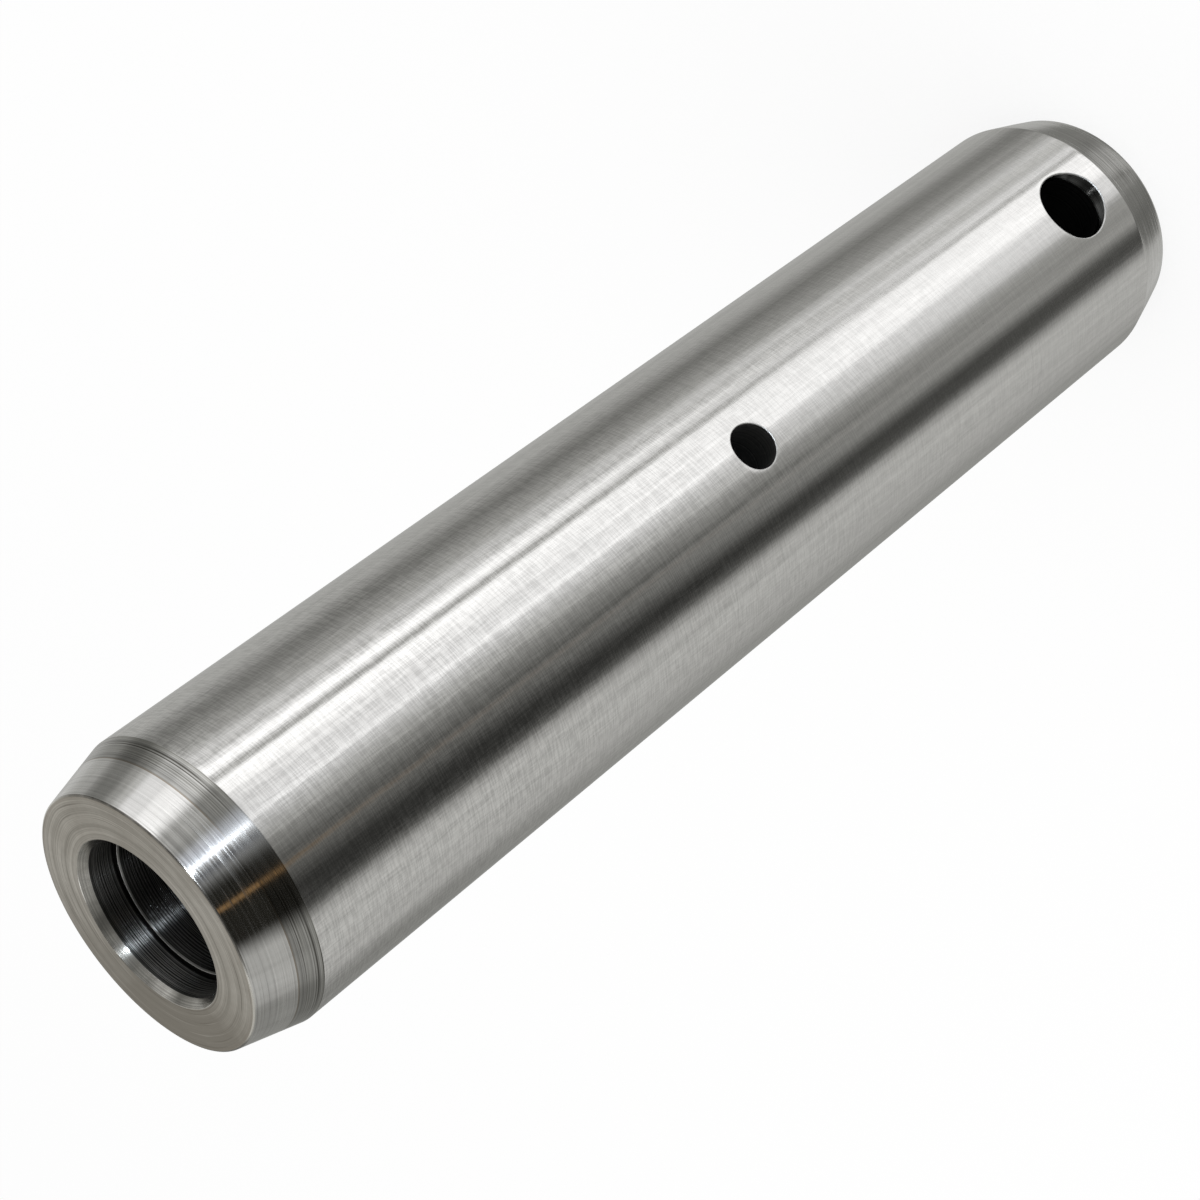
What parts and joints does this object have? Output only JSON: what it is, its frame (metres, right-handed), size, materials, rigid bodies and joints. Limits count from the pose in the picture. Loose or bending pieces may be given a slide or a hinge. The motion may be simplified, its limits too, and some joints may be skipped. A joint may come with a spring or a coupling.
{
  "type": "pivot pin",
  "caption": "Hollow steel pivot pin with tapered ends, a stepped central bore, a grease hole at mid length and a lead-in cross hole for a retaining bolt near the plain end.",
  "frame": {"origin": "centre of the plain end face, on the pin's centre line", "axes": "+Z along the centre line to the end with the plug recess; the grease hole and the front of the bolt hole open towards -Y"},
  "size_m": [0.06, 0.06, 0.29],
  "materials": {
    "ground_steel": "ground bearing surface, turned tapers and end faces, dark bores"
  },
  "bodies": {
    "root": {"pivot_pin": "ground_steel"}
  },
  "joints": []
}
